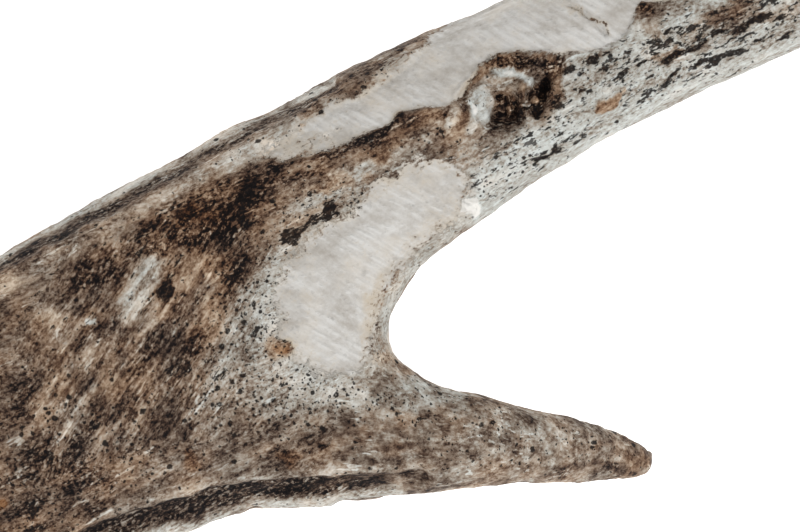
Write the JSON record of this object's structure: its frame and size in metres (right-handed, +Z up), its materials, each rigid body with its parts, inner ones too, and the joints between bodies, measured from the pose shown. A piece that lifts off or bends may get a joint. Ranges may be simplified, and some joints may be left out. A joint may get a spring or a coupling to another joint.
{
  "type": "roe deer shed antler",
  "caption": "Shed roe deer antler lying on its side: a pearled, furrowed beam with a knobbed burr and seal, a front tine, a rear tine and a top tine, its face gnawed.",
  "frame": {"origin": "the middle of the box's bottom, on the surface that the antler lies on", "axes": "+X along the beam from the burr to the top tine, +Y to the rear tine's side, +Z up from the surface"},
  "size_m": [0.2136, 0.0562, 0.0403],
  "materials": {
    "antler": "weathered antler bone, gnawed pale in patches and stained brown elsewhere"
  },
  "bodies": {
    "root": {"lower_beam": "antler", "upper_beam": "antler", "front_tine": "antler", "rear_tine": "antler", "top_tine": "antler"}
  },
  "joints": []
}
